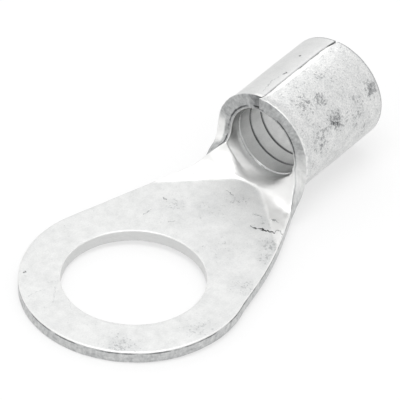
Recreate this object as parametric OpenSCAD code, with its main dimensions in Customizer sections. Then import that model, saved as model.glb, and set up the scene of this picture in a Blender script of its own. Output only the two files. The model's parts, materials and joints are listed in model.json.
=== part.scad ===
// Ring terminal for a crimped cable: one strip of copper, pierced for a stud and pressed flat
// at one end, rolled into a wire barrel at the other, and tin plated all over.
//
// The origin is on the axis of the stud hole, at the underside of the tongue.
// +X runs along the terminal to the wire, and +Z is up, away from the surface under the tongue.

/* [Tongue] */
// Diameter of the stud hole
stud_d = 13; // [10:0.5:14]
// Outside diameter of the ring around the stud hole
ring_d = 20.5; // [19.5:0.5:22]
// Thickness of the tongue, which is pressed thinner than the sheet
tongue_t = 1.2; // [1:0.05:1.4]
// Angle between each side of the neck and the centre line
neck_angle = 18.2; // [17:0.2:19.4]
// Width of the edge that the punch rolls over around the upper face
rolled_edge = 0.15; // [0.05:0.05:0.25]
// How far the neck's left-hand side bows outwards
left_bow = 0.05; // [0:0.05:0.5]
// How far the neck's right-hand side bows outwards
right_bow = 0.45; // [0:0.05:0.5]

/* [Barrel] */
// Inside diameter of the barrel
bore_d = 7.5; // [7:0.1:7.8]
// Thickness of the sheet in the barrel
sheet_t = 1.5; // [1.3:0.05:1.6]
// Distance from the stud hole's axis to the mouth of the barrel
mouth_x = 19.2; // [18.8:0.1:19.8]
// Distance from the stud hole's axis to the wire end of the barrel
end_x = 30.6; // [28:0.2:34]
// How far the barrel hangs below the underside of the tongue
drop = 0.9; // [0.6:0.05:1.1]
// How far the right-hand flap reaches ahead of the left-hand one
flap_step = 0.6; // [0.2:0.1:0.8]
// Radius of the notch between the neck and each flap
notch_r = 1.7; // [1.4:0.1:2]

/* [Wire grooves] */
// Number of grooves inside the barrel
groove_count = 3; // [1:1:5]
// Distance from one groove to the next
groove_pitch = 1.6; // [1:0.1:1.8]
// Depth of each groove
groove_depth = 0.2; // [0.1:0.05:0.3]

/* [Seam] */
// Angle of the seam from the top of the barrel, towards the left-hand flap
seam_turn = 3.6; // [0:0.2:8]
// Width of the valley along the brazed seam
valley_w = 0.5; // [0.2:0.05:0.6]
// Depth of the valley along the brazed seam
valley_d = 0.2; // [0.1:0.05:0.35]
// Length of the stretch at the wire end that the braze leaves open
open_len = 1.2; // [0.5:0.1:2]
// Width of the open stretch
open_w = 0.25; // [0.15:0.05:0.4]

/* [Hidden] */
$fn = 96;

stud_r = stud_d / 2;
ring_r = ring_d / 2;
bore_r = bore_d / 2;
barrel_r = bore_r + sheet_t;
mid_r = bore_r + sheet_t / 2;         // radius of the sheet's middle layer in the barrel
axis_z = barrel_r - drop;             // height of the barrel's axis
right_mouth_x = mouth_x - flap_step;

neck_from = ring_r * sin(neck_angle);  // where the neck's sides leave the ring
press_from = mouth_x - 3.7;           // the sheet thickens from here to press_to
press_to = mouth_x - 0.7;
sink_from = mouth_x - 1.8;            // the floor sinks from here to sink_to
sink_to = mouth_x;
curl_from = mouth_x - 3.5;            // the sides curl up from here to curl_to
curl_to = mouth_x - 0.8;
curl_power = 1.5;
flat_from = mouth_x - 5.6;            // the flat of the tongue narrows from here to flat_to
flat_to = mouth_x - 2.1;
flat_half = 5;                        // half the width of the flat where it starts to narrow

mouth_round = 0.3;                    // rounding of the barrel's outer edge at the mouth
end_bevel = 0.1;                      // bevel of the edges at the wire end
groove_w = 0.45;
groove_first = mouth_x + 1.3;

skin = 0.02;                          // how far overlapping pieces stay inside each other's faces
lap = 0.5;                            // how far the pieces overlap along the terminal
side_steps = 18;                      // rings of points along the neck's sides
notch_steps = 12;                     // rings of points around the notch
inner_steps = 5;                      // rings of points inside the barrel
half_columns = 14;                    // columns of points on each side of the centre line

function limit(t) = min(max(t, 0), 1);
function mix(a, b, t) = a + (b - a) * t;
function ease(t) = let (u = limit(t)) u * u * (3 - 2 * u);
function along(x, from, to) = (x - from) / (to - from);

// Half the width of the blank along the neck, if its sides were straight
function side_w(x) = ring_r / cos(neck_angle) - x * tan(neck_angle);

// Thickness of the sheet, height of its middle layer on the centre line, half the width that
// is still flat, and curvature of the rest, each at a distance x from the stud hole
function thickness(x) = mix(tongue_t, sheet_t, ease(along(x, press_from, press_to)));
function floor_z(x) = mix(tongue_t / 2, axis_z - mid_r, ease(along(x, sink_from, sink_to)));
function flat_w(x) = flat_half * (1 - pow(limit(along(x, flat_from, flat_to)), 1.15));
function curl(x) = pow(max(limit(along(x, curl_from, curl_to)), 0.02), curl_power) / mid_r;

// The outline of the flat blank on one side, as [x, half width] from the ring along the neck,
// round the notch to the flap whose mouth is at m, and on into the barrel
function notch_x(m) = m - notch_r;
function notch_w(m) = side_w(notch_x(m)) + notch_r / cos(neck_angle);
function outline(m, bow) = concat(
    [for (i = [0 : side_steps - 1])
        let (t = i / side_steps)
        let (x = mix(neck_from, notch_x(m) - notch_r * sin(neck_angle), t))
        [x, side_w(x) - skin + bow * sin(180 * t)]],
    [for (i = [0 : notch_steps])
        let (a = (90 + neck_angle) * (i / notch_steps - 1))
        [notch_x(m) + notch_r * cos(a), notch_w(m) + notch_r * sin(a)]],
    [for (i = [1 : inner_steps])
        [mix(m, mouth_x + lap, i / inner_steps), notch_w(m)]]);

// Where a point of the blank lies after rolling: x along the terminal, s across the blank from
// its centre line, and n up from its middle layer
function rolled(x, s, n) =
    let (r = 1 / curl(x))
    let (flat = min(flat_w(x), abs(s)))
    let (turn = (abs(s) - flat) / r * 180 / PI)
    [x, sign(s) * (flat + (r - n) * sin(turn)), floor_z(x) + r - (r - n) * cos(turn)];

// One ring of points round the sheet's section: the upper face from right to left, the left
// edge, the lower face from left to right, and the right edge
function section(left, right) =
    let (middle_x = (left[0] + right[0]) / 2)
    let (columns = [for (j = [-half_columns : half_columns])
        let (u = j / half_columns)
        let (edge = u < 0 ? right : left)
        [mix(middle_x, edge[0], u * u), u * (edge[1] - rolled_edge)]])
    let (half = [for (c = columns) thickness(c[0]) / 2 - skin])
    let (last = len(columns) - 1)
    concat(
        [for (j = [0 : last]) rolled(columns[j][0], columns[j][1], half[j])],
        [rolled(left[0], left[1], half[last] - rolled_edge),
         rolled(left[0], left[1], rolled_edge - half[last])],
        [for (j = [last : -1 : 0]) rolled(columns[j][0], columns[j][1], -half[j])],
        [rolled(right[0], -right[1], rolled_edge - half[0]),
         rolled(right[0], -right[1], half[0] - rolled_edge)]);

// Closes the end of a loft whose rings have m points on each face, starting at point p
function end_faces(p, m) = concat(
    [for (j = [0 : m - 2]) [p + j, p + j + 1, p + 2 * m - j, p + 2 * m + 1 - j]],
    [[p + m - 1, p + m, p + m + 1, p + m + 2]],
    [[p, p + 2 * m + 1, p + 2 * m + 2, p + 2 * m + 3]]);
function reversed(face) = [for (i = [len(face) - 1 : -1 : 0]) face[i]];

// The disc around the stud, with its upper edge rolled over
module ring() {
    rotate_extrude()
        polygon([
            [0, 0],
            [ring_r, 0],
            [ring_r, tongue_t - rolled_edge],
            [ring_r - rolled_edge, tongue_t],
            [0, tongue_t]]);
}

// The neck, which leaves the ring flat and curls up until it is the barrel's lower half
module neck() {
    left = outline(mouth_x, left_bow);
    right = outline(right_mouth_x, right_bow);
    rings = [for (i = [0 : len(left) - 1]) section(left[i], right[i])];
    n = len(rings[0]);
    first_end = end_faces(0, 2 * half_columns + 1);
    other_end = end_faces(n * (len(rings) - 1), 2 * half_columns + 1);
    walls = [for (i = [0 : len(rings) - 2], j = [0 : n - 1], half = [0, 1])
        let (a = n * i + j)
        let (b = n * i + (j + 1) % n)
        half == 0 ? [a, b, b + n] : [a, b + n, a + n]];
    polyhedron(
        points = [for (ring = rings, p = ring) p],
        faces = concat([for (f = first_end) reversed(f)], walls, other_end));
}

// Turns a solid of revolution about Z into one about the barrel's axis, starting underneath
module on_barrel_axis() {
    translate([0, 0, axis_z])
        rotate([0, 90, 0])
            children();
}

// The inner corners of one groove, as [radius, x]
function groove(x) = [
    [bore_r, x - groove_w / 2],
    [bore_r + groove_depth, x],
    [bore_r, x + groove_w / 2]];

// The rounded outer edge at the mouth, as [radius, x]
function mouth_edge(r, x) = [for (a = [0 : 22.5 : 90])
    [r - mouth_round + mouth_round * cos(a), x + mouth_round - mouth_round * sin(a)]];

// The rolled barrel, with the wire grooves inside
module barrel() {
    inside = [for (i = [0 : groove_count - 1], p = groove(groove_first + i * groove_pitch)) p];
    on_barrel_axis()
        rotate_extrude()
            polygon(concat(
                [[bore_r, mouth_x]],
                inside,
                [[bore_r, end_x - end_bevel],
                 [bore_r + end_bevel, end_x],
                 [barrel_r - end_bevel, end_x],
                 [barrel_r, end_x - end_bevel]],
                mouth_edge(barrel_r, mouth_x)));
}

// The strip by which the right-hand flap reaches ahead of the left-hand one
module right_flap() {
    from_turn = notch_w(right_mouth_x) / mid_r * 180 / PI - 4;
    to_turn = 180 + seam_turn;
    on_barrel_axis()
        rotate([0, 0, -to_turn])
            rotate_extrude(angle = to_turn - from_turn)
                polygon(concat(
                    [[bore_r + skin, right_mouth_x],
                     [bore_r + skin, mouth_x + lap],
                     [barrel_r - skin, mouth_x + lap]],
                    mouth_edge(barrel_r - skin, right_mouth_x)));
}

// Where the two flaps meet: a shallow valley all along, open right through at the wire end
module seam() {
    translate([0, 0, axis_z])
        rotate([-seam_turn, 0, 0]) {
            translate([right_mouth_x - lap, 0, barrel_r])
                rotate([90, 0, 90])
                    linear_extrude(end_x - right_mouth_x + 2 * lap)
                        polygon([
                            [-valley_w / 2, valley_d],
                            [-valley_w / 2, -valley_d / 4],
                            [0, -valley_d],
                            [valley_w / 2, -valley_d / 4],
                            [valley_w / 2, valley_d]]);
            translate([end_x - open_len, -open_w / 2, bore_r - lap])
                cube([open_len + lap, open_w, sheet_t + 2 * lap]);
        }
}

// The whole terminal
module terminal() {
    color("gainsboro")
        difference() {
            union() {
                ring();
                neck();
                barrel();
                right_flap();
            }
            translate([0, 0, -lap])
                cylinder(r = stud_r, h = tongue_t + 2 * lap);
            seam();
        }
}

terminal();
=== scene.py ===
"""Ring terminal: the looks of a bare, tin-plated copper ring terminal.

The terminal is one strip of sheet, so its visible mesh is made as it is made in the press. A flat
blank is cut out first, in blank coordinates (x along the terminal, s across it, n through the
sheet), and a Geometry Nodes tree then rolls the blank into the neck and the wire barrel.
Lengths are in millimetres up to the point where a mesh is made, which is in metres.
"""
from functools import partial
import json
import math

import bpy
from mathutils import Matrix, Vector


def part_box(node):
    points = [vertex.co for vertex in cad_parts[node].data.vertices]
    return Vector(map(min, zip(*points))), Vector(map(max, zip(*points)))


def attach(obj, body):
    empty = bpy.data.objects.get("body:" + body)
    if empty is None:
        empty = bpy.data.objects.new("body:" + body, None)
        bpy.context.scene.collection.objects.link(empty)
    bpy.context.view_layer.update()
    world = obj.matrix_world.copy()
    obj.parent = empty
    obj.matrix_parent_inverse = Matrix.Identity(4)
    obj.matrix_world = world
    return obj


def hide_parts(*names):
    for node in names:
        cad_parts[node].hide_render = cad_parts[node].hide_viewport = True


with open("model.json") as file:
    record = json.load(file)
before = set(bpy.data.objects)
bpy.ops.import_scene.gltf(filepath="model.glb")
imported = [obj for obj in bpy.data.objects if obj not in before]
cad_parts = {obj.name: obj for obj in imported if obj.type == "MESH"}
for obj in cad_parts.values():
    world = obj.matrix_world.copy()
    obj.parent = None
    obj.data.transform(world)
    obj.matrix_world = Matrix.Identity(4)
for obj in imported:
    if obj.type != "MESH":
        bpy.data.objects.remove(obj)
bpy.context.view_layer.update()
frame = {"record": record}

MM = 0.001

# ---------------------------------------------------------------- sizes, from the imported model

low, high = (Vector(corner_highlight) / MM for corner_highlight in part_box("terminal"))
mounts = {mount["name"]: mount for mount in frame["record"]["mounts"]}
STUD_R = mounts["stud_hole"]["dims"]["r_mm"]
BORE_R = mounts["wire_barrel"]["dims"]["r_mm"]
TONGUE_T = mounts["tongue_top"]["pos_m"][2] / MM
AXIS_Z = mounts["wire_barrel"]["pos_m"][2] / MM      # height of the barrel's axis
RING_R = -low.x
END_X = high.x                                       # wire end of the barrel
BARREL_R = AXIS_Z - low.z
SHEET_T = BARREL_R - BORE_R
MID_R = BARREL_R - SHEET_T / 2                       # radius of the sheet's middle layer
END_BEVEL = 0.1
MOUTH_X = END_X - END_BEVEL - mounts["wire_barrel"]["dims"]["length_mm"]

# The blank's outline
NECK_ANGLE = math.radians(18.2)
LEFT_BOW = 0.05
RIGHT_BOW = 0.52
NOTCH_R = 1.7
FLAP_STEP = 0.6                                      # the right flap reaches this much further ahead
SEAM_TURN = 5.0                                      # the seam, in degrees to the left of the top
SEAM_TURN_MOUTH = 3.9                                # it wanders back at the mouth
SEAM_TURN_END = 2.2                                  # and at the wire end
EDGE_INSET = 0.3                                     # the faces stop this far inside the outline

# Rolling
GROOVE_COUNT = 3
GROOVE_PITCH = 1.65
GROOVE_FIRST = MOUTH_X + 1.25
GROOVE_W = 0.26
GROOVE_D = 0.16
SLANT_SHARE = 0.69          # turns the slanted side's rise into a distance from it
CORNER_SOFTNESS = 0.8       # how softly the pressed flat's front meets its slanted sides
STEP_BEFORE = 0.12          # the step's slope, before and behind the flat's edge
STEP_BEHIND = 0.16


def mix(a, b, t):
    return a + (b - a) * t


def ease(t):
    u = min(max(t, 0), 1)
    return u * u * (3 - 2 * u)


def seam_turn(x):
    """How far the seam lies to the left of the barrel's top, in radians."""
    mouth = ease((MOUTH_X + 2.5 - x) / 2.5)
    end = ease((x - END_X + 2.2) / 2.2)
    turn = mix(mix(SEAM_TURN, SEAM_TURN_MOUTH, mouth), SEAM_TURN_END, end)
    return math.radians(turn)


def spread(a, b, count):
    """count + 1 even steps from a to b."""
    return [mix(a, b, i / count) for i in range(count + 1)]


# ---------------------------------------------------------------- the flat blank

class Side:
    """One side of the blank: sign is 1 on the left and -1 on the right."""

    def __init__(self, sign, mouth, bow):
        self.sign = sign
        self.mouth = mouth
        self.bow = bow
        self.neck_x = RING_R * math.sin(NECK_ANGLE)
        self.notch_x = mouth - NOTCH_R
        self.notch_s = self.straight(self.notch_x) + NOTCH_R / math.cos(NECK_ANGLE)
        self.neck_end = self.notch_x - NOTCH_R * math.sin(NECK_ANGLE)

    def straight(self, x):
        return RING_R / math.cos(NECK_ANGLE) - x * math.tan(NECK_ANGLE)

    def neck(self, x, inset=0.0):
        """Half width along the neck, whose side bows outwards a little."""
        t = (x - self.neck_x) / (self.neck_end - self.neck_x)
        bow = self.bow * math.sin(math.pi * min(max(t, 0), 1))
        return self.straight(x) + bow - inset / math.cos(NECK_ANGLE)

    def notch(self, t, inset=0.0):
        """A point round the notch, from the neck at 0 to the flap at 1."""
        a = (math.pi / 2 + NECK_ANGLE) * (t - 1)
        r = NOTCH_R + inset
        return self.notch_x + r * math.cos(a), self.notch_s + r * math.sin(a)

    def seam(self, x, inset=0.0):
        """Where the flap ends at the seam: the braze leaves it open at both ends."""
        near_end = max(0.0, 1 - (END_X - x) / 1.3)
        near_mouth = max(0.0, 1 - (x - self.mouth) / 1.0)
        gap = 0.005 + 0.1 * near_end ** 0.6 + 0.05 * near_mouth ** 2
        return MID_R * (math.pi - self.sign * seam_turn(x)) - gap - inset


LEFT = Side(1, MOUTH_X, LEFT_BOW)
RIGHT = Side(-1, MOUTH_X - FLAP_STEP, RIGHT_BOW)

JOIN_X = 9.4                # the grid round the hole hands over to the neck's grid here
HALF_COLUMNS = 40
NECK_ROWS = 34
NOTCH_ROWS = 26
FLAP_COLUMNS = 38
RIM_STEP = 0.3              # spacing of the points round the ring
HOLE_ROWS = 14


def column_shares():
    return [c / HALF_COLUMNS for c in range(-HALF_COLUMNS, HALF_COLUMNS + 1)]


def neck_row_edges(i, inset):
    """The left and right edge points and the centre's x of one row of the neck's grid."""
    if i <= NECK_ROWS:
        t = i / NECK_ROWS
        edges = []
        for side in (RIGHT, LEFT):
            x = mix(JOIN_X, side.neck_end, t)
            edges.append((x, side.neck(x, inset)))
        centre = mix(JOIN_X, (LEFT.neck_end + RIGHT.neck_end) / 2, t)
    else:
        t = (i - NECK_ROWS) / NOTCH_ROWS
        edges = [side.notch(t, inset) for side in (RIGHT, LEFT)]
        start = (LEFT.neck_end + RIGHT.neck_end) / 2
        centre = mix(start, (LEFT.mouth + RIGHT.mouth) / 2 + inset, t)
    return edges[0], edges[1], centre


def neck_row(i, inset):
    """One row of the neck's grid, from right to left, in blank coordinates."""
    right, left, centre = neck_row_edges(i, inset)
    row = []
    for u in column_shares():
        edge = left if u > 0 else right
        row.append((mix(centre, edge[0], u * u), u * edge[1]))
    return row


def barrel_stations():
    """Distances along the barrel for its rows, closer together at the wire grooves and ends."""
    start = (LEFT.mouth + RIGHT.mouth) / 2 + EDGE_INSET
    stop = END_X - EDGE_INSET
    stations = [start + 0.1, start + 0.25]
    for groove in range(GROOVE_COUNT):
        centre = GROOVE_FIRST + groove * GROOVE_PITCH
        stations += [centre + GROOVE_W * k / 8 for k in range(-5, 6)]
        stations += [centre - GROOVE_PITCH * k / 5 for k in (-2.5, 2.5, -1.7, 1.7)]
    last = max(stations)
    stations += spread(last, stop, round((stop - last) / 0.2))[1:]
    tidy = [start]
    for x in sorted(stations):
        if x - tidy[-1] > 0.03:
            tidy.append(x)
    tidy[-1] = stop
    return tidy


def barrel_row(x, start, first_row):
    """One row of the barrel's grid, across the whole sheet from one seam edge to the other."""
    fade = max(0.0, 1 - (x - start) / 1.7) ** 2
    row = []
    for side, edge in ((RIGHT, first_row[0]), (LEFT, first_row[-1])):
        edge_x = x + (edge[0] - start) * fade
        reach = side.seam(edge_x, EDGE_INSET)
        flap = [(edge_x, side.sign * mix(abs(edge[1]), reach, k / FLAP_COLUMNS))
                for k in range(1, FLAP_COLUMNS + 1)]
        if side is RIGHT:
            row = flap[::-1] + [(x + (px - start) * fade, ps) for px, ps in first_row]
        else:
            row += flap
    return row


def ring_outline(inset):
    """The outline from the join on the left, round the ring, to the join on the right."""
    points = []
    side_count = round((JOIN_X - LEFT.neck_x) / RIM_STEP)
    for x in spread(JOIN_X, LEFT.neck_x, side_count)[1:]:
        points.append((x, LEFT.neck(x, inset)))
    reach = math.pi / 2 - NECK_ANGLE
    arc_count = round((2 * math.pi - 2 * reach) * RING_R / RIM_STEP)
    for a in spread(reach, 2 * math.pi - reach, arc_count)[1:-1]:
        points.append(((RING_R - inset) * math.cos(a), (RING_R - inset) * math.sin(a)))
    for x in spread(RIGHT.neck_x, JOIN_X, side_count)[:-1]:
        points.append((x, -RIGHT.neck(x, inset)))
    return points


def rim_profile(top_r, under_w, under_h):
    """The sheet's cut edge from the upper face to the lower, as (inset, height) pairs. The upper
    edge is rounded to top_r, and the lower one over a width and a height of its own."""
    h = SHEET_T / 2
    points = []
    for k in range(4):
        a = math.pi / 2 * k / 3
        points.append((top_r * (1 - math.sin(a)), h - top_r * (1 - math.cos(a))))
    points += [(0.0, mix(h - top_r, under_h - h, t)) for t in (0.2, 0.4, 0.6, 0.8)]
    for k in range(5):
        a = math.pi / 2 * k / 4
        points.append((under_w * (1 - math.cos(a)), -h + under_h * (1 - math.sin(a))))
    return points


class Blank:
    """Collects the blank's points and faces, in (x, s, n): n is 1 on the upper face, which is
    also the barrel's inside, and -1 on the lower face."""

    def __init__(self):
        self.points = []
        self.faces = []

    def add(self, x, s, n):
        self.points.append((x, s, n))
        return len(self.points) - 1

    def grid(self, rows):
        for upper, lower in zip(rows, rows[1:]):
            for k in range(len(upper) - 1):
                self.faces.append((upper[k], upper[k + 1], lower[k + 1], lower[k]))

    def rim(self, top, under, outline, rounding):
        """Closes the cut edge between a closed loop of the upper face and the same of the lower.
        outline has the loop's true outline points, and rounding each one's rim_profile sizes."""
        count = len(top)
        strips = []
        for k in range(count):
            tx, ts, _ = self.points[top[k]]
            ox, os_ = outline[k]
            strip = [top[k]]
            for inset, height in rim_profile(*rounding[k]):
                share = inset / EDGE_INSET
                strip.append(self.add(mix(ox, tx, share), mix(os_, ts, share), height / (SHEET_T / 2)))
            strip.append(under[k])
            strips.append(strip)
        for k in range(count):
            a, b = strips[k], strips[(k + 1) % count]
            for j in range(len(a) - 1):
                self.faces.append((a[j], a[j + 1], b[j + 1], b[j]))


def cut_blank():
    """The whole blank as points and faces."""
    blank = Blank()
    start = (LEFT.mouth + RIGHT.mouth) / 2 + EDGE_INSET
    neck_rows = [neck_row(i, EDGE_INSET) for i in range(NECK_ROWS + NOTCH_ROWS + 1)]
    neck_rows[-1][0] = (RIGHT.mouth + EDGE_INSET, neck_rows[-1][0][1])
    barrel_rows = [barrel_row(x, start, neck_rows[-1]) for x in barrel_stations()]
    ring_edge = ring_outline(EDGE_INSET)
    around = neck_rows[0] + ring_edge
    hole_r = STUD_R + EDGE_INSET
    faces = {}
    for n in (1, -1):
        sheet = {"neck": [[blank.add(x, s, n) for x, s in row] for row in neck_rows]}
        edge = [blank.add(x, s, n) for x, s in ring_edge]
        rows = [sheet["neck"][0] + edge]
        for j in range(1, HOLE_ROWS + 1):
            t = j / HOLE_ROWS
            row = []
            for x, s in around:
                reach = math.hypot(x, s)
                row.append(blank.add(x * mix(1, hole_r / reach, t), s * mix(1, hole_r / reach, t), n))
            rows.append(row)
        sheet["ring"] = rows
        middle = sheet["neck"][-1]
        barrel = []
        for i, row in enumerate(barrel_rows):
            made = [blank.add(x, s, n) for x, s in row[:FLAP_COLUMNS]]
            if i == 0:
                made += middle
            else:
                made += [blank.add(x, s, n) for x, s in row[FLAP_COLUMNS:-FLAP_COLUMNS]]
            made += [blank.add(x, s, n) for x, s in row[-FLAP_COLUMNS:]]
            barrel.append(made)
        sheet["barrel"] = barrel
        faces[n] = sheet
        first = len(blank.faces)
        closed = [row + row[:1] for row in rows]
        blank.grid(closed)
        blank.grid([row[::-1] for row in sheet["neck"]])
        blank.grid([row[::-1] for row in barrel])
        if n == -1:
            blank.faces[first:] = [face[::-1] for face in blank.faces[first:]]

    def outer_loop(sheet):
        """Indices round the outside: ring, right neck, notch, flap, seam, end and back again."""
        neck, barrel = sheet["neck"], sheet["barrel"]
        loop = sheet["ring"][0][len(neck[0]):]
        loop += [row[0] for row in neck]
        loop += barrel[0][:FLAP_COLUMNS][::-1]
        loop += [row[0] for row in barrel[1:]]
        loop += barrel[-1][1:]
        loop += [row[-1] for row in barrel[:-1]][::-1]
        loop += barrel[0][-FLAP_COLUMNS:-1][::-1]
        loop += [row[-1] for row in neck][::-1]
        return loop

    outline = ring_outline(0)
    outline += [(edge[0], -edge[1]) for edge in (neck_row_edges(i, 0)[0]
                                                 for i in range(NECK_ROWS + NOTCH_ROWS + 1))]
    loop = outer_loop(faces[1])
    inside = [blank.points[v][:2] for v in loop]
    outline += [outside_of(x, s) for x, s in inside[len(outline):]]
    neck_count = NECK_ROWS + NOTCH_ROWS + 1
    outline[-neck_count:] = [neck_row_edges(i, 0)[1] for i in range(neck_count)][::-1]
    blank.rim(loop, outer_loop(faces[-1]), outline, [edge_rounding(x, s) for x, s in outline])

    hole = [blank.points[v] for v in faces[1]["ring"][-1]]
    shrink = STUD_R / hole_r
    hole_outline = [(x * shrink, s * shrink) for x, s, _ in hole][::-1]
    blank.rim(faces[1]["ring"][-1][::-1], faces[-1]["ring"][-1][::-1], hole_outline,
              [HOLE_ROUNDING] * len(hole_outline))
    return blank


def outside_of(x, s):
    """The outline point that belongs to a point on the inset edge of a flap, seam or wire end."""
    side = LEFT if s > 0 else RIGHT
    at_mouth = abs(x - side.mouth - EDGE_INSET) < 0.01
    at_end = abs(x - END_X + EDGE_INSET) < 0.01
    at_seam = abs(abs(s) - side.seam(x, EDGE_INSET)) < 0.01
    out_x = side.mouth if at_mouth else END_X if at_end else x
    out_s = side.sign * side.seam(out_x) if at_seam else s
    return out_x, out_s


RING_ROUNDING = (0.14, 0.05, 0.05)
HOLE_ROUNDING = (0.08, 0.04, 0.04)
FLAP_ROUNDING = (0.1, 0.12, 0.12)
WIRE_END_ROUNDING = (0.08, 0.1, 0.1)
LEFT_SEAM_ROUNDING = (0.1, 0.03, 0.03)
RIGHT_SEAM_ROUNDING = (0.1, 0.29, 0.05)


def edge_rounding(x, s):
    """Rounding of the sheet's edge at a point of the outline: the punch rolls over the tongue's
    upper edge, and the braze has left a broad soft edge on the right of the seam."""
    side = LEFT if s > 0 else RIGHT
    if x > END_X - 0.05:
        return WIRE_END_ROUNDING
    if abs(s) > side.seam(x) - 0.01:
        return LEFT_SEAM_ROUNDING if side is LEFT else RIGHT_SEAM_ROUNDING
    t = min(max((x - side.notch_x + 1) / 2, 0), 1)
    return tuple(mix(ring, flap, t) for ring, flap in zip(RING_ROUNDING, FLAP_ROUNDING))


# ---------------------------------------------------------------- node helper

MATH = "ShaderNodeMath"
RANGE = "ShaderNodeMapRange"    # in order: value, from min, from max, to min, to max
VECTOR = "ShaderNodeVectorMath"
NOISE = "ShaderNodeTexNoise"


def add_node(tree, kind, *inputs, **settings):
    """Adds a node, sets its properties, and sets or links its inputs, which come in order or by
    name in one dictionary. A node given as an input is linked from its first output."""
    made = tree.nodes.new(kind)
    for name, value in settings.items():
        setattr(made, name, value)
    by_name = inputs and isinstance(inputs[0], dict)
    for key, value in (inputs[0].items() if by_name else enumerate(inputs)):
        socket = made.inputs[key]
        if isinstance(value, bpy.types.Node):
            value = value.outputs[0]
        if isinstance(value, bpy.types.NodeSocket):
            tree.links.new(value, socket)
        else:
            socket.default_value = value
    return made


# ---------------------------------------------------------------- rolling the blank

ROLL_SIZES = {
    "Middle Radius": MID_R,
    "Axis Height": AXIS_Z,
    "Tongue Thickness": TONGUE_T,
    "Sheet Thickness": SHEET_T,
    "Press From": MOUTH_X - 3.7,
    "Press To": MOUTH_X - 0.7,
    "Sink From": MOUTH_X - 1.8,
    "Sink To": MOUTH_X + 0.8,
    "Curl From": MOUTH_X - 3.5,
    "Curl To": MOUTH_X - 0.8,
    "Flat From": MOUTH_X - 5.6,
    "Flat To": MOUTH_X - 2.1,
    "Flat Half Width": 5.0,
    "Crease Softness": 0.5,
    "Pressed Front": MOUTH_X - 2.15,
    "Pressed Half Width": 1.3,
    "Pressed Step": 0.09,
    "Step Fades From": -3.2,
    "Step Fades To": -5.2,
    "Shoulder X": MOUTH_X - 0.9,
    "Shoulder Across": 5.7,
    "Shoulder Size": 2.1,
    "Shoulder Height": 0.22,
    "Groove First": GROOVE_FIRST,
    "Groove Pitch": GROOVE_PITCH,
    "Groove Width": GROOVE_W,
    "Groove Depth": GROOVE_D,
    "Wave Size": 5.0,
    "Wave Height": 0.05,
    "Dent Size": 1.1,
    "Dent Height": 0.022,
    "Ragged Size": 0.35,
    "Ragged Height": 0.16,
}
ROLL_NUMBERS = {
    "Curl Power": 1.5,
    "Flat Power": 1.15,
    "Pressed Slope": 1.06,
    "Groove Count": float(GROOVE_COUNT),
    "Seed": 7.0,
}


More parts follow.
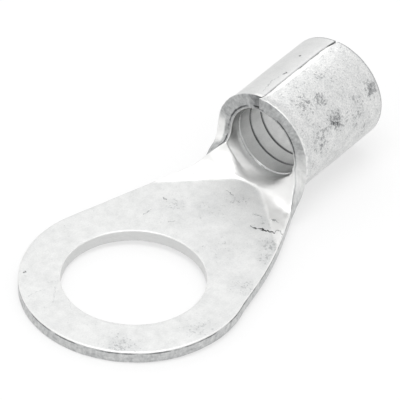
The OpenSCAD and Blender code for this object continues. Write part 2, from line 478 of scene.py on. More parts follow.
def roll_tree(material):
    """The tree that rolls the blank. Its lengths are in metres."""
    tree = bpy.data.node_groups.new("roll the blank", "GeometryNodeTree")
    face = tree.interface
    face.new_socket("Geometry", in_out="INPUT", socket_type="NodeSocketGeometry")
    for name in [*ROLL_SIZES, *ROLL_NUMBERS]:
        face.new_socket(name, in_out="INPUT", socket_type="NodeSocketFloat")
    face.new_socket("Geometry", in_out="OUTPUT", socket_type="NodeSocketGeometry")
    add = partial(add_node, tree)
    given = add("NodeGroupInput").outputs
    place = add("GeometryNodeInputPosition")
    split = add("ShaderNodeSeparateXYZ", place)
    x, s, n = split.outputs

    # The sheet's thickness and the height of its middle layer on the centre line
    half_tongue = add(MATH, given["Tongue Thickness"], 0.5, operation="MULTIPLY")
    half_sheet = add(MATH, given["Sheet Thickness"], 0.5, operation="MULTIPLY")
    half = add(RANGE, x, given["Press From"], given["Press To"], half_tongue, half_sheet,
               interpolation_type="SMOOTHSTEP")
    barrel_floor = add(MATH, given["Axis Height"], given["Middle Radius"], operation="SUBTRACT")
    floor = add(RANGE, x, given["Sink From"], given["Sink To"], half_tongue, barrel_floor,
                interpolation_type="SMOOTHSTEP")

    # The width that stays flat, and the radius to which the rest curls
    narrowing = add(RANGE, x, given["Flat From"], given["Flat To"])
    narrowed = add(MATH, narrowing, given["Flat Power"], operation="POWER")
    flat = add(RANGE, {"Value": narrowed, "To Min": given["Flat Half Width"], "To Max": 0.0})
    curling = add(RANGE, x, given["Curl From"], given["Curl To"], 0.02)
    curled = add(MATH, curling, given["Curl Power"], operation="POWER")
    radius = add(MATH, given["Middle Radius"], curled, operation="DIVIDE")
    across = add(MATH, s, operation="ABSOLUTE")
    side = add(MATH, s, operation="SIGN")
    flat_part = add(MATH, flat, across, given["Crease Softness"], operation="SMOOTH_MIN")
    curved_part = add(MATH, across, flat_part, operation="SUBTRACT")
    turn = add(MATH, curved_part, radius, operation="DIVIDE")

    # The edge of the pressed flat: a low step, straight in front and slanted at the sides
    beyond_front = add(MATH, x, given["Pressed Front"], operation="SUBTRACT")
    beyond_side = add(MATH, across, given["Pressed Half Width"], operation="SUBTRACT")
    beyond_slant = add(MATH, beyond_front, given["Pressed Slope"], beyond_side,
                       operation="MULTIPLY_ADD")
    slant = add(MATH, beyond_slant, SLANT_SHARE, operation="MULTIPLY")
    beyond = add(MATH, beyond_front, slant, CORNER_SOFTNESS * MM, operation="SMOOTH_MAX")
    step_high = add(RANGE, s, given["Step Fades From"], given["Step Fades To"], given["Pressed Step"],
                    0.0, interpolation_type="SMOOTHSTEP")
    step = add(RANGE, beyond, -STEP_BEFORE * MM, STEP_BEHIND * MM, 0.0, step_high,
               interpolation_type="SMOOTHSTEP")

    # The wire grooves, on the inside only
    from_first = add(MATH, x, given["Groove First"], operation="SUBTRACT")
    in_pitches = add(MATH, from_first, given["Groove Pitch"], operation="DIVIDE")
    nearest = add(MATH, in_pitches, operation="ROUND")
    last = add(MATH, given["Groove Count"], 1.0, operation="SUBTRACT")
    held = add("ShaderNodeClamp", {"Value": nearest, "Min": 0.0, "Max": last})
    off = add(MATH, in_pitches, held, operation="SUBTRACT")
    off_abs = add(MATH, off, operation="ABSOLUTE")
    away = add(MATH, off_abs, given["Groove Pitch"], operation="MULTIPLY")
    half_groove = add(MATH, given["Groove Width"], 0.5, operation="MULTIPLY")
    groove = add(RANGE, away, 0.0, half_groove, given["Groove Depth"], 0.0)

    # The sheet bulges outwards where each side turns up into the barrel
    at_shoulder = add("ShaderNodeCombineXYZ", given["Shoulder X"], given["Shoulder Across"])
    folded = add("ShaderNodeCombineXYZ", x, across)
    from_shoulder = add(VECTOR, folded, at_shoulder, operation="DISTANCE").outputs["Value"]
    shoulder = add(RANGE, from_shoulder, 0.0, given["Shoulder Size"], given["Shoulder Height"], 0.0,
                   interpolation_type="SMOOTHSTEP")

    # Long waves and small dents in the sheet, and a ragged cut edge
    wide = add(VECTOR, place, (1.0, 1.0, 0.0), operation="MULTIPLY")
    wave_scale = add(MATH, 1.0, given["Wave Size"], operation="DIVIDE")
    wave = add(NOISE, {"Vector": wide, "W": given["Seed"], "Scale": wave_scale, "Detail": 1.0},
               noise_dimensions="4D")
    wave_high = add(RANGE, wave, 0.3, 0.7, 0.0, given["Wave Height"])
    dent_scale = add(MATH, 1.0, given["Dent Size"], operation="DIVIDE")
    dent = add(NOISE, {"Vector": place, "W": given["Seed"], "Scale": dent_scale, "Detail": 2.0},
               noise_dimensions="4D")
    dent_high = add(RANGE, dent, 0.3, 0.7, 0.0, given["Dent Height"])
    ragged_scale = add(MATH, 1.0, given["Ragged Size"], operation="DIVIDE")
    ragged = add(NOISE, {"Vector": place, "W": given["Seed"], "Scale": ragged_scale, "Detail": 2.0},
                 noise_dimensions="4D")
    on_face = add(MATH, n, operation="ABSOLUTE")
    torn = add(RANGE, x, given["Press From"], given["Press To"], 0.3, 1.0)
    torn_high = add(MATH, torn, given["Ragged Height"], operation="MULTIPLY")
    on_edge = add(RANGE, on_face, 1.0 * MM, 0.96 * MM, 0.0, torn_high)
    ragged_off = add(MATH, ragged, 0.5, operation="SUBTRACT")
    ragged_high = add(MATH, ragged_off, on_edge, operation="MULTIPLY")

    # How far the point lies above the middle layer
    share = add(MATH, n, 1 / MM, operation="MULTIPLY")
    upper = add(MATH, share, 0.0, operation="MAXIMUM")
    relief = add(MATH, step, groove, operation="SUBTRACT")
    relief_up = add(MATH, relief, upper, operation="MULTIPLY")
    plain = add(MATH, share, half, relief_up, operation="MULTIPLY_ADD")
    dented = add(MATH, share, dent_high, operation="MULTIPLY")
    less_dented = add(MATH, plain, dented, operation="SUBTRACT")
    with_edge = add(MATH, less_dented, ragged_high, operation="ADD")
    waved = add(MATH, with_edge, wave_high, operation="ADD")
    rise = add(MATH, waved, shoulder, operation="SUBTRACT")

    # The rolled place
    inner = add(MATH, radius, rise, operation="SUBTRACT")
    sine = add(MATH, turn, operation="SINE")
    cosine = add(MATH, turn, operation="COSINE")
    out = add(MATH, inner, sine, flat_part, operation="MULTIPLY_ADD")
    rolled_y = add(MATH, out, side, operation="MULTIPLY")
    under_axis = add(MATH, inner, cosine, operation="MULTIPLY")
    axis = add(MATH, floor, radius, operation="ADD")
    rolled_z = add(MATH, axis, under_axis, operation="SUBTRACT")
    rolled_x = add(MATH, x, ragged_high, operation="ADD")
    rolled = add("ShaderNodeCombineXYZ", rolled_x, rolled_y, rolled_z)

    # The blank's own coordinates in millimetres stay on the mesh for the plating's pattern
    blank_mm = add(VECTOR, {0: place, "Scale": 1 / MM}, operation="SCALE")
    beyond_mm = add(MATH, beyond, 1 / MM, operation="MULTIPLY")
    kept = add("GeometryNodeStoreNamedAttribute", {
        "Geometry": given["Geometry"], "Name": "blank", "Value": blank_mm},
        data_type="FLOAT_VECTOR", domain="POINT")
    kept = add("GeometryNodeStoreNamedAttribute", {
        "Geometry": kept, "Name": "beyond_flat", "Value": beyond_mm},
        data_type="FLOAT", domain="POINT")
    moved = add("GeometryNodeSetPosition", {"Geometry": kept, "Position": rolled})
    real = add("GeometryNodeRealizeInstances", {"Geometry": moved})
    dressed = add("GeometryNodeSetMaterial", {"Geometry": real, "Material": material})
    add("NodeGroupOutput", dressed)
    return tree


def make_terminal(material):
    """The terminal as one closed mesh that stands for the CAD node."""
    blank = cut_blank()
    flat = bpy.data.meshes.new("blank")
    flat.from_pydata([(x * MM, s * MM, n * MM) for x, s, n in blank.points], [], blank.faces)
    sheet = bpy.data.objects.new("blank", flat)
    bpy.context.scene.collection.objects.link(sheet)
    tree = roll_tree(material)
    roll = sheet.modifiers.new("roll", "NODES")
    roll.node_group = tree
    for item in tree.interface.items_tree:
        if item.in_out == "INPUT" and item.name in ROLL_SIZES:
            roll[item.identifier] = ROLL_SIZES[item.name] * MM
        elif item.in_out == "INPUT" and item.name in ROLL_NUMBERS:
            roll[item.identifier] = ROLL_NUMBERS[item.name]
    seen = bpy.context.evaluated_depsgraph_get()
    mesh = bpy.data.meshes.new_from_object(sheet.evaluated_get(seen), depsgraph=seen)
    sheet.modifiers.remove(roll)
    bpy.data.objects.remove(sheet)
    mesh.name = "rolled_terminal"
    mesh.polygons.foreach_set("use_smooth", [True] * len(mesh.polygons))
    terminal = bpy.data.objects.new("rolled_terminal", mesh)
    bpy.context.scene.collection.objects.link(terminal)
    return terminal


# ---------------------------------------------------------------- materials

def colour(hex_code):
    """An sRGB hex value as the linear colour that Blender's sockets take."""
    channels = [int(hex_code[i:i + 2], 16) / 255 for i in (1, 3, 5)]
    return (*[c / 12.92 if c <= 0.04045 else ((c + 0.055) / 1.055) ** 2.4 for c in channels], 1.0)


def new_material(name):
    material = bpy.data.materials.new(name)
    material.use_nodes = True
    material.node_tree.nodes.clear()
    return material, material.node_tree


# Marks on the plating, in blank coordinates: (from x, from s, to x, to s, width, darkness)
TONGUE_MARKS = (
    # the tear where the neck's right-hand side was pressed over the die's edge
    (12.3, -3.8, 12.2, -4.2, 0.05, 0.4),
    (12.2, -4.2, 12.5, -4.7, 0.07, 0.55),
    (12.5, -4.7, 12.6, -5.3, 0.11, 0.75),
    (12.6, -5.3, 12.8, -6.0, 0.1, 0.75),
    (12.8, -6.0, 13.3, -6.1, 0.06, 0.5),
    (13.3, -6.1, 13.2, -6.7, 0.05, 0.4),
    (13.2, -6.7, 12.5, -7.2, 0.07, 0.55),
    (14.2, -4.7, 14.3, -5.1, 0.07, 0.45),
    (14.3, -5.1, 14.2, -5.6, 0.05, 0.4),
    (13.8, -3.0, 14.0, -3.7, 0.05, 0.25),
    (15.0, 1.0, 15.0, 0.5, 0.04, 0.25),
    (15.0, 0.5, 14.8, 0.0, 0.05, 0.3),
    # scratches
    (15.5, 5.1, 14.8, 4.6, 0.04, 0.2),
    (15.6, 4.7, 15.0, 4.3, 0.04, 0.18),
    (15.2, 4.3, 15.1, 3.8, 0.04, 0.15),
    (7.4, 4.7, 8.4, 4.6, 0.03, 0.25),
    (10.6, 4.7, 10.5, 4.4, 0.08, 0.3),
    (8.1, 2.3, 8.5, 1.9, 0.04, 0.2),
    (-5.6, 8.0, -5.5, 7.9, 0.08, 0.4),
    (-7.2, 3.4, -5.3, 4.6, 0.03, 0.12),
    (-6.9, 1.6, -5.6, 3.0, 0.03, 0.1),
    (-5.4, 5.5, -4.5, 4.8, 0.03, 0.1),
    (-7.9, 5.6, -6.6, 5.3, 0.04, 0.12),
)
BARREL_MARKS = (
    # pits and a scratch on the left of the seam
    (26.8, 12.7, 26.9, 12.7, 0.09, 0.6),
    (23.5, 13.15, 23.8, 13.25, 0.08, 0.45),
    (20.1, 13.3, 22.1, 12.9, 0.03, 0.2),
    (22.1, 12.9, 23.0, 13.1, 0.03, 0.2),
    # scars on the right-hand flap
    (21.6, -9.3, 23.0, -9.0, 0.1, 0.15),
    (23.2, -9.2, 24.0, -8.9, 0.1, 0.25),
    (24.2, -8.6, 24.7, -8.3, 0.09, 0.2),
    (20.0, -7.3, 19.3, -6.5, 0.05, 0.2),
)
# Clouds of dark specks: (x, s, radius, strength)
TONGUE_CLOUDS = (
    (11.3, -7.0, 1.9, 1.3),
    (9.4, -7.6, 1.7, 0.9),
    (13.6, -4.6, 1.8, 0.8),
    (14.4, -0.6, 1.7, 0.8),
    (5.0, -8.4, 2.2, 0.8),
    (10.4, 3.6, 2.2, 0.6),
    (12.0, 0.5, 3.0, 0.5),
    (-8.0, -4.6, 2.6, 0.9),
    (-2.0, -8.8, 2.6, 0.7),
    (8.0, -3.5, 3.5, 0.4),
)
BARREL_CLOUDS = (
    (23.4, -11.3, 1.3, 0.9),
    (24.0, -9.2, 1.6, 1.2),
    (29.6, -9.4, 1.4, 1.2),
    (25.6, -12.8, 1.0, 0.9),
    (21.6, -11.8, 1.8, 0.8),
    (26.9, -8.6, 2.2, 0.6),
    (21.3, -8.6, 2.0, 0.7),
    (28.0, -6.5, 2.0, 0.4),
)


def mark_depth(tree, place, marks):
    """How dark the marks make a point of the blank."""
    add = partial(add_node, tree)
    depth = 0.0
    for x1, s1, x2, s2, width, dark in marks:
        start = Vector((x1, s1, 0))
        along = Vector((x2, s2, 0)) - start
        offset = add(VECTOR, place, start, operation="SUBTRACT").outputs["Vector"]
        reach = add(VECTOR, offset, along, operation="DOT_PRODUCT").outputs["Value"]
        share = add(MATH, reach, along.length_squared, operation="DIVIDE", use_clamp=True)
        nearest = add(VECTOR, {0: along, "Scale": share}, operation="SCALE").outputs["Vector"]
        away = add(VECTOR, offset, nearest, operation="DISTANCE").outputs["Value"]
        here = add(RANGE, away, width * 0.4, width * 1.3, dark, 0.0)
        depth = add(MATH, depth, here, operation="MAXIMUM")
    return depth


def cloud_depth(tree, place, clouds):
    """How thickly the clouds of specks lie at a point of the blank."""
    add = partial(add_node, tree)
    depth = 0.0
    for x, s, radius, strength in clouds:
        away = add(VECTOR, place, (x, s, 0.0), operation="DISTANCE").outputs["Value"]
        here = add(RANGE, away, 0.0, radius, strength, 0.0, interpolation_type="SMOOTHSTEP")
        depth = add(MATH, depth, here, operation="MAXIMUM")
    return depth


CLEAN_TONE = 0.31
DEGREE_S = math.radians(MID_R)      # one degree round the barrel, in mm across the blank


def tin_plate():
    """Electroplated matt tin on copper, barrel-plated in bulk: a pale grey, soft metal with a
    frosty sheen. It is scuffed by the other terminals in the drum, coarser where the flap was
    torn over the rolling tool, and grey and grainy on the sheared edges."""
    material, tree = new_material("matt tin plate on copper")
    add = partial(add_node, tree)
    blank = add("ShaderNodeAttribute", attribute_name="blank").outputs["Vector"]
    beyond = add("ShaderNodeAttribute", attribute_name="beyond_flat").outputs["Fac"]
    x, s, n = add("ShaderNodeSeparateXYZ", blank).outputs
    place = add(VECTOR, blank, (1.0, 1.0, 3.0), operation="MULTIPLY").outputs["Vector"]
    wander = add(NOISE, {"Vector": place, "Scale": 1 / 0.25, "Detail": 3.0})
    wander = add(VECTOR, wander.outputs["Color"], (0.5, 0.5, 0.5),
                 operation="SUBTRACT").outputs["Vector"]
    wander = add(VECTOR, wander, (0.6, 0.6, 0.0), operation="MULTIPLY").outputs["Vector"]
    flat_place = add(VECTOR, blank, (1.0, 1.0, 0.0), operation="MULTIPLY").outputs["Vector"]
    drawn = add(VECTOR, flat_place, wander, operation="ADD").outputs["Vector"]

    # Where on the sheet the point lies
    edge_share = add(MATH, n, operation="ABSOLUTE")
    cut = add(RANGE, edge_share, 0.97, 0.9)
    upper = add(RANGE, n, 0.9, 0.99)
    lower = add(RANGE, n, -0.9, -0.99)
    in_barrel = add(RANGE, x, MOUTH_X - 1.5, MOUTH_X + 0.3)
    inside = add(MATH, upper, in_barrel, operation="MULTIPLY")
    outside = add(MATH, lower, in_barrel, operation="MULTIPLY")
    right = add(RANGE, s, 1.0, -2.0)
    torn_face = add(MATH, outside, right, operation="MULTIPLY")
    in_hole = add(MATH, add(VECTOR, flat_place, operation="LENGTH").outputs["Value"], STUD_R + 0.15,
                  operation="LESS_THAN")

    # Clean plating: broad clouds, fine grain and stray specks
    broad = add(NOISE, {"Vector": place, "Scale": 1 / 2.6, "Detail": 2.0})
    middling = add(NOISE, {"Vector": place, "Scale": 1 / 0.7, "Detail": 3.0, "Roughness": 0.6})
    fine = add(NOISE, {"Vector": place, "Scale": 1 / 0.15, "Detail": 2.0, "Roughness": 0.6})
    clouds = add(MATH, add(MATH, cloud_depth(tree, drawn, TONGUE_CLOUDS), upper, operation="MULTIPLY"),
                 add(MATH, cloud_depth(tree, drawn, BARREL_CLOUDS), torn_face, operation="MULTIPLY"),
                 operation="MAXIMUM")
    marks = add(MATH, add(MATH, mark_depth(tree, drawn, TONGUE_MARKS), upper, operation="MULTIPLY"),
                add(MATH, mark_depth(tree, drawn, BARREL_MARKS), outside, operation="MULTIPLY"),
                operation="MAXIMUM")
    speck_edge = add(RANGE, clouds, 0.0, 1.0, 0.66, 0.48)
    speck_edge = add(MATH, torn_face, -0.05, speck_edge, operation="MULTIPLY_ADD")
    speck_grain = add(NOISE, {"Vector": place, "Scale": 1 / 0.26, "Detail": 3.0, "Roughness": 0.7})
    speck_over = add(MATH, speck_grain, speck_edge, operation="SUBTRACT")
    specks = add(RANGE, speck_over, 0.0, 0.08)

    # The tone runs from 0, burnished, to 1, dirt in a pit. Further down a mask brightens it by
    # tone + mask * (level - share * tone), and darkens it by tone + mask * amount.
    tone = add(MATH, add(RANGE, broad, 0.3, 0.7, -0.5, 0.5), 0.04, CLEAN_TONE, operation="MULTIPLY_ADD")
    unevenness = add(RANGE, torn_face, 0.0, 1.0, 0.035, 0.12)
    tone = add(MATH, add(RANGE, middling, 0.3, 0.7, -0.5, 0.5), unevenness, tone,
               operation="MULTIPLY_ADD")
    fine_depth = add(RANGE, torn_face, 0.0, 1.0, 0.05, 0.2)
    tone = add(MATH, add(RANGE, fine, 0.3, 0.7, -0.5, 0.5), fine_depth, tone, operation="MULTIPLY_ADD")
    tone = add(MATH, clouds, 0.06, tone, operation="MULTIPLY_ADD")
    tone = add(MATH, specks, add(RANGE, torn_face, 0.0, 1.0, 0.14, 0.22), tone,
               operation="MULTIPLY_ADD")

    # The ramp beyond the pressed flat, and a darker band along the outer face at the wire end
    # Painted highlight: the ramp is painted nearly white to stand in for the light that falls into the
    # channel. It is also burnished, so it is smoother and less bumpy.
    ramp_highlight = add(MATH, upper, add(RANGE, beyond, -0.1, 0.25), operation="MULTIPLY")
    ramp_highlight = add(MATH, ramp_highlight, add(RANGE, x, MOUTH_X + 0.6, MOUTH_X - 0.6), operation="MULTIPLY")
    tone = add(MATH, ramp_highlight, add(MATH, tone, -0.8, 0.04, operation="MULTIPLY_ADD"), tone,
               operation="MULTIPLY_ADD")
    far_edge = add(MATH, add(RANGE, x, END_X - 0.22, END_X - 0.12), outside, operation="MULTIPLY")
    tone = add(MATH, far_edge, 0.22, tone, operation="MULTIPLY_ADD")

    # Painted shade in the wire grooves: the inside is darkened along each groove, less in the first
    pitches = add(MATH, add(MATH, x, GROOVE_FIRST, operation="SUBTRACT"), GROOVE_PITCH,
                  operation="DIVIDE")
    nearest = add(MATH, pitches, operation="ROUND")
    up_to_last = add(MATH, nearest, GROOVE_COUNT - 1.0, operation="MINIMUM")
    groove = add(MATH, up_to_last, 0.0, operation="MAXIMUM")
    off_pitches = add(MATH, add(MATH, pitches, groove, operation="SUBTRACT"), operation="ABSOLUTE")
    off_groove = add(MATH, off_pitches, GROOVE_PITCH, operation="MULTIPLY")
    groove_shade = add(RANGE, off_groove, GROOVE_W * 0.6, GROOVE_W * 0.3)
    groove_shade = add(MATH, groove_shade, add(RANGE, x, GROOVE_FIRST + 0.5, GROOVE_FIRST + 0.8, 0.15, 0.5),
               operation="MULTIPLY")
    tone = add(MATH, groove_shade, inside, tone, operation="MULTIPLY_ADD")

    # A painted highlight along the burr at the mouth of the right-hand flap, and a lighter patch beside
    # the seam at the left one's mouth
    nibbles = add(NOISE, {"Vector": blank, "Scale": 1 / 0.45, "Detail": 2.0})
    mouth_reach = add(MATH, add(RANGE, nibbles, 0.4, 0.62), 0.34, RIGHT.mouth, operation="MULTIPLY_ADD")
    burr_glint = add(MATH, x, mouth_reach, operation="LESS_THAN")
    burr_glint = add(MATH, add(MATH, burr_glint, outside, operation="MULTIPLY"), add(RANGE, s, -4.0, -7.0),
               operation="MULTIPLY")
    left_patch = add(MATH, add(RANGE, s, 12.9, 13.2), add(RANGE, x, LEFT.mouth + 0.5, LEFT.mouth + 0.35),
               operation="MULTIPLY")
    left_patch = add(MATH, left_patch, outside, operation="MULTIPLY")
    glint_and_patch = add(MATH, burr_glint, left_patch, operation="MAXIMUM")
    tone = add(MATH, glint_and_patch, add(MATH, tone, -0.9, 0.04, operation="MULTIPLY_ADD"), tone,
               operation="MULTIPLY_ADD")

    # The seam: a braze land on its right, painted lighter as a painted highlight, and a joint line that
    # opens at the wire end
    turned = add(RANGE, x, MOUTH_X, MOUTH_X + 2.5, SEAM_TURN_MOUTH, SEAM_TURN)
    turned_end = add(RANGE, x, END_X - 2.2, END_X, 0.0, SEAM_TURN - SEAM_TURN_END)
    seam_shift = add(MATH, add(MATH, turned, turned_end, operation="SUBTRACT"), DEGREE_S,
                     operation="MULTIPLY")
    from_top = add(MATH, MID_R * math.pi, add(MATH, s, operation="ABSOLUTE"), operation="SUBTRACT")
    on_right = add(MATH, s, 0.0, operation="LESS_THAN")
    on_left = add(MATH, 1.0, on_right, operation="SUBTRACT")
    from_right_seam = add(MATH, from_top, seam_shift, operation="ADD")
    from_left_seam = add(MATH, from_top, seam_shift, operation="SUBTRACT")
    land_w = add(MATH, add(RANGE, x, MOUTH_X, MOUTH_X + 2.5, 0.16, 0.43),
                 add(RANGE, x, END_X - 3.0, END_X - 0.8, 0.43, 0.16), operation="MINIMUM")
    land_highlight = add(RANGE, add(MATH, from_right_seam, land_w, operation="SUBTRACT"), 0.05, -0.03)
    land_highlight = add(MATH, add(MATH, land_highlight, on_right, operation="MULTIPLY"), outside, operation="MULTIPLY")
    tone = add(MATH, land_highlight, add(MATH, tone, -0.9, 0.06, operation="MULTIPLY_ADD"), tone,
               operation="MULTIPLY_ADD")
    joint = add(MATH, add(RANGE, from_left_seam, 0.13, 0.05), on_left, operation="MULTIPLY")
    joint = add(MATH, joint, outside, operation="MULTIPLY")
    joint_dark = add(RANGE, x, END_X - 1.4, END_X - 1.1, 0.16, 0.4)
    tone = add(MATH, joint, joint_dark, tone, operation="MULTIPLY_ADD")

    # The sheared edges: grainy, with a dark line in patches just below the rounded upper edge
    streaked = add(VECTOR, blank, (1.0, 1.0, 0.5), operation="MULTIPLY").outputs["Vector"]
    streaks = add(NOISE, {"Vector": streaked, "Scale": 1 / 0.4, "Detail": 4.0, "Roughness": 0.65})
    shear = add(MATH, add(RANGE, streaks, 0.3, 0.7), 0.22, 0.28, operation="MULTIPLY_ADD")
    shear_line = add(MATH, add(RANGE, n, 0.5, 0.6), add(RANGE, n, 0.8, 0.7), operation="MULTIPLY")
    patches = add(NOISE, {"Vector": place, "Scale": 1 / 1.8, "Detail": 2.0})
    shear_line = add(MATH, shear_line, add(RANGE, patches, 0.42, 0.55), operation="MULTIPLY")
    shear = add(MATH, shear_line, 0.35, shear, operation="MULTIPLY_ADD")
    mouth_cut = add(RANGE, x, MOUTH_X - 3.5, MOUTH_X - 1.5)
    shear = add(MATH, mouth_cut, 0.08, shear, operation="MULTIPLY_ADD")
    # Painted shade: the cut faces beside the seam on the left are darkened
    shade_by_joint = add(MATH, add(RANGE, s, 12.2, 13.4), mouth_cut, operation="MULTIPLY")
    shear = add(MATH, shade_by_joint, 0.22, shear, operation="MULTIPLY_ADD")
    # the low corner of the left-hand flap's cut face is painted lighter as a painted highlight, and so
    # is the right-hand one, less
    corner_highlight = add(MATH, add(RANGE, s, 5.2, 5.8), add(RANGE, s, 8.4, 7.2), operation="MULTIPLY")
    corner_highlight = add(MATH, corner_highlight, add(RANGE, n, 0.25, 0.0), operation="MULTIPLY")
    right_corner_highlight = add(MATH, add(RANGE, s, -5.0, -5.8), add(RANGE, s, -8.6, -7.0), operation="MULTIPLY")
    right_corner_highlight = add(MATH, right_corner_highlight, 0.45, operation="MULTIPLY")
    corner_highlight = add(MATH, add(MATH, corner_highlight, right_corner_highlight, operation="MAXIMUM"), mouth_cut,
                 operation="MULTIPLY")
    shear = add(MATH, corner_highlight, add(MATH, shear, -1.0, 0.04, operation="MULTIPLY_ADD"), shear,
                operation="MULTIPLY_ADD")
    shear = add("ShaderNodeMix", {0: in_hole, 2: shear, 3: 0.3})
    tone = add("ShaderNodeMix", {0: cut, 2: tone, 3: shear})
    # Painted highlight along the rolled-over upper edge: its rounding is painted lighter and made
    # smoother, though not on the left-hand side of the neck
    rolled_edge_highlight = add(MATH, add(RANGE, n, 0.78, 0.86), add(RANGE, n, 0.999, 0.97), operation="MULTIPLY")
    rolled_edge_highlight = add(MATH, rolled_edge_highlight, add(RANGE, x, MOUTH_X - 1.0, MOUTH_X - 3.0),
                      operation="MULTIPLY")
    rolled_edge_highlight = add(MATH, rolled_edge_highlight, add(RANGE, s, 7.5, 5.0, add(RANGE, x, 0.0, -3.0), 1.0),
                      operation="MULTIPLY")
    tone = add(MATH, rolled_edge_highlight, add(MATH, tone, -0.8, 0.04, operation="MULTIPLY_ADD"), tone,
               operation="MULTIPLY_ADD")
    tone = add(MATH, tone, marks, operation="ADD")

    ramp_colour = add("ShaderNodeValToRGB", tone)
    stops = ramp_colour.color_ramp.elements
    stops[0].position, stops[0].color = 0.0, colour("#F6F6F5")
    stops[1].position, stops[1].color = 1.0, colour("#272727")
    for position, code in ((0.2, "#E9E9E8"), (0.4, "#CACBCB"), (0.6, "#999A9B"), (0.8, "#626364")):
        stop = stops.new(position)
        stop.color = colour(code)

    gloss = add(MATH, outside, -0.22, 0.66, operation="MULTIPLY_ADD")
    gloss = add(MATH, ramp_highlight, -0.16, gloss, operation="MULTIPLY_ADD")
    gloss = add(MATH, inside, -0.3, gloss, operation="MULTIPLY_ADD")
    gloss = add(MATH, rolled_edge_highlight, -0.3, gloss, operation="MULTIPLY_ADD")
    gloss = add(MATH, add(RANGE, middling, 0.3, 0.7, -0.5, 0.5), 0.12, gloss, operation="MULTIPLY_ADD")

    relief = add(MATH, fine, 0.5, middling, operation="MULTIPLY_ADD")
    rough_face = add(MATH, torn_face, cut, operation="MAXIMUM")
    relief_depth = add(MATH, ramp_highlight, -0.1, add(MATH, rough_face, 0.5, 0.14, operation="MULTIPLY_ADD"),
                       operation="MULTIPLY_ADD")
    bump = add("ShaderNodeBump", {"Height": relief, "Strength": relief_depth, "Distance": 0.06 * MM})
    shader = add("ShaderNodeBsdfPrincipled", {
        "Base Color": ramp_colour, "Metallic": 1.0, "Roughness": gloss, "Normal": bump})
    add("ShaderNodeOutputMaterial", {"Surface": shader})
    return material


# ---------------------------------------------------------------- floor, light and camera

# The terminal touches the floor with its ring's front edge and the barrel's underside
FLOOR_TILT = math.atan2(-low.z, MOUTH_X + RING_R)
CAMERA_TURN = math.radians(-54.125)
CAMERA_RISE = math.radians(38.627)
CAMERA_ROLL = math.radians(1.874)
CAMERA_REACH = 367.1
CAMERA_AIM = Vector((13.62, 2.88, 0.0))
CAMERA_LENS = 362.1
FLOOR_HALF = 3000
FLOOR_GAP = 0.02            # the floor lies this far below the terminal
FLOOR_GLOW = 0.86
FLOOR_GLOW_SHARE = 0.7      # the rest of the floor shows the shadow
SKY_LOW = 0.7               # the room's light at the horizon
SKY_RISE = 0.6              # and how high it reaches its full level
LIGHTS = {
    # name: (turn, rise, distance, size, power) round the aim, angles in degrees, lengths in mm
    "back softbox": (126, 46, 340, 200, 0.06),
    "overhead softbox": (-60, 80, 340, 220, 0.5),
}


def toward(turn, rise):
    """The direction from the aim to a viewer at that azimuth and elevation."""
    return Vector((math.sin(turn) * math.cos(rise), -math.cos(turn) * math.cos(rise), math.sin(rise)))


def seen_by_rays(tree):
    """1 for the rays that see the studio itself: the camera's, and those in gloss or glass."""
    add = partial(add_node, tree)
    path = add("ShaderNodeLightPath").outputs
    seen = add(MATH, path["Is Camera Ray"], path["Is Glossy Ray"], operation="MAXIMUM")
    return add(MATH, seen, path["Is Transmission Ray"], operation="MAXIMUM")


def make_floor():
    material, tree = new_material("white studio floor")
    add = partial(add_node, tree)
    matt = add("ShaderNodeBsdfDiffuse", {"Color": colour("#FFFFFF")})
    white = add("ShaderNodeEmission", {"Color": colour("#FFFFFF"), "Strength": FLOOR_GLOW})
    faint = add("ShaderNodeMixShader", FLOOR_GLOW_SHARE, matt, white)
    both = add("ShaderNodeMixShader", seen_by_rays(tree), matt, faint)
    add("ShaderNodeOutputMaterial", {"Surface": both})
    half = FLOOR_HALF * MM
    mesh = bpy.data.meshes.new("floor")
    mesh.from_pydata([(-half, -half, 0), (half, -half, 0), (half, half, 0), (-half, half, 0)],
                     [], [(0, 1, 2, 3)])
    mesh.materials.append(material)
    floor = bpy.data.objects.new("floor", mesh)
    floor.rotation_euler = (0, FLOOR_TILT, 0)
    floor.location = (-RING_R * MM, 0, -FLOOR_GAP * MM)
    bpy.context.scene.collection.objects.link(floor)


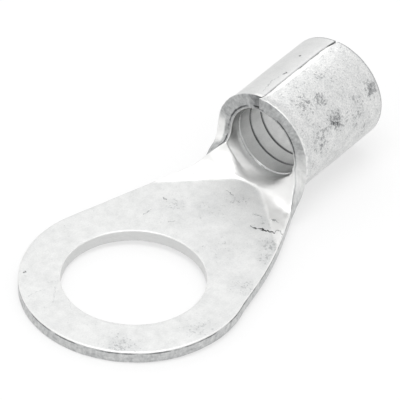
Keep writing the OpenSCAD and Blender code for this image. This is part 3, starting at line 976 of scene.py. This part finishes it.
def make_lights():
    for name, (turn, rise, reach, size, power) in LIGHTS.items():
        lamp = bpy.data.lights.new(name, "AREA")
        lamp.shape = "DISK"
        lamp.size = size * MM
        lamp.energy = power
        holder = bpy.data.objects.new(name, lamp)
        out = toward(math.radians(turn), math.radians(rise))
        holder.location = (CAMERA_AIM + out * reach) * MM
        holder.rotation_mode = "QUATERNION"
        holder.rotation_quaternion = out.to_track_quat("Z", "Y")
        bpy.context.scene.collection.objects.link(holder)


def make_world():
    world = bpy.data.worlds.new("studio")
    world.use_nodes = True
    tree = world.node_tree
    tree.nodes.clear()
    add = partial(add_node, tree)
    sky = add("ShaderNodeTexCoord").outputs["Generated"]
    rise = add("ShaderNodeSeparateXYZ", sky).outputs["Z"]
    level = add(RANGE, rise, 0.0, SKY_RISE, SKY_LOW, 1.0, interpolation_type="SMOOTHSTEP")
    room = add("ShaderNodeBackground", {"Color": colour("#FFFFFF"), "Strength": level})
    white = add("ShaderNodeBackground", {"Color": colour("#FFFFFF"), "Strength": 1.0})
    both = add("ShaderNodeMixShader", seen_by_rays(tree), room, white)
    add("ShaderNodeOutputWorld", {"Surface": both})
    bpy.context.scene.world = world


def make_camera():
    lens = bpy.data.cameras.new("camera")
    lens.lens = CAMERA_LENS
    lens.sensor_width = 36
    lens.clip_start = 10 * MM
    lens.clip_end = 20.0
    camera = bpy.data.objects.new("camera", lens)
    back = toward(CAMERA_TURN, CAMERA_RISE)
    right = Vector((math.cos(CAMERA_TURN), math.sin(CAMERA_TURN), 0))
    up = back.cross(right)
    turned_right = right * math.cos(CAMERA_ROLL) + up * math.sin(CAMERA_ROLL)
    turned_up = up * math.cos(CAMERA_ROLL) - right * math.sin(CAMERA_ROLL)
    axes = Matrix((turned_right, turned_up, back)).transposed()
    camera.matrix_world = Matrix.Translation((CAMERA_AIM + back * CAMERA_REACH) * MM) @ axes.to_4x4()
    bpy.context.scene.collection.objects.link(camera)
    bpy.context.scene.camera = camera


# ---------------------------------------------------------------- the scene

make_camera()
make_world()
make_lights()
make_floor()
terminal = make_terminal(tin_plate())
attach(terminal, "root")
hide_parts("terminal")
bpy.context.scene.view_settings.view_transform = "Standard"
